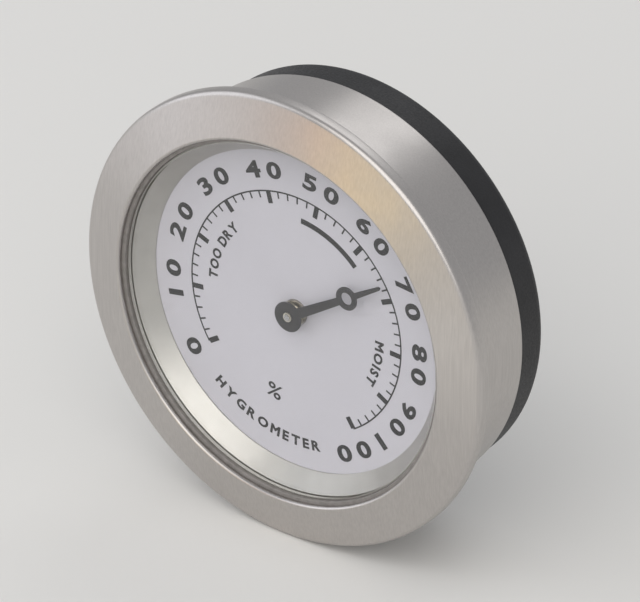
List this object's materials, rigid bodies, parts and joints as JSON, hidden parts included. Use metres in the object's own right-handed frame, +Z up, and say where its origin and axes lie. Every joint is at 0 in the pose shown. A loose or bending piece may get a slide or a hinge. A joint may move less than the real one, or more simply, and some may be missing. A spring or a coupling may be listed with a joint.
{
  "type": "dial hygrometer",
  "caption": "Small round analogue dial hygrometer that presses into a round panel hole, with a moisture-sensitive coil, a pointer and a calibration screw at the back.",
  "frame": {"origin": "on the axis of the dial, in the plane of the flange's back face, which lies on the panel's front", "axes": "+Y along the barrel into the panel, away from the viewer; the dial looks along -Y; +Z up; +X to the viewer's right"},
  "size_m": [0.037, 0.0114, 0.037],
  "materials": {
    "bezel": "brushed, satin",
    "gasket": "moulded dark grey rubber",
    "crystal": "polished, clear",
    "rehaut": "fine turned, half bright",
    "dial": "matt lacquer with printed scale",
    "ink": "pad-printed black ink",
    "pointer": "semi-gloss black lacquer",
    "brass_parts": "turned",
    "plate": "stamped, grained",
    "screws": "zinc plated",
    "spring_steel": "oiled spring steel",
    "arbor_steel": "burnished",
    "coil_metal": "rolled bronze strip",
    "moisture_layer": "moisture-sensitive coating on paper",
    "housing": "moulded, fine spark texture"
  },
  "bodies": {
    "case": {"bezel": "bezel", "crystal_gasket": "gasket", "crystal": "crystal", "rehaut_ring": "rehaut", "dial_plate": "dial", "dial_feet": "brass_parts", "movement_plate": "plate", "front_bush": "brass_parts", "pillar_1": "brass_parts", "pillar_2": "brass_parts", "pillar_3": "brass_parts", "pillar_screws": "screws", "rear_housing": "housing", "rear_bush": "brass_parts", "rear_screws": "screws"},
    "adjuster": {"adjuster_hub": "brass_parts", "adjuster_arm": "plate", "coil_anchor_stud": "brass_parts", "disc_spring": "spring_steel", "adjuster_clip": "spring_steel", "coil_strip": "coil_metal", "coil_moisture_layer": "moisture_layer"},
    "pointer": {"arbor": "arbor_steel", "coil_collet": "brass_parts", "pointer_hub": "brass_parts", "pointer": "pointer"}
  },
  "joints": [
    {"name": "calibration_turn", "type": "hinge", "parent": "case", "child": "adjuster", "pos_m": [0, 0, 0], "axis": [0, 1, 0], "range_deg": [-45, 45]},
    {"name": "humidity_turn", "type": "hinge", "parent": "adjuster", "child": "pointer", "pos_m": [0, 0, 0], "axis": [0, 1, 0], "range_deg": [-180.9, 89.1], "stiffness_Nm_per_rad": 0.00002, "deforming": ["coil_strip", "coil_moisture_layer"]}
  ]
}
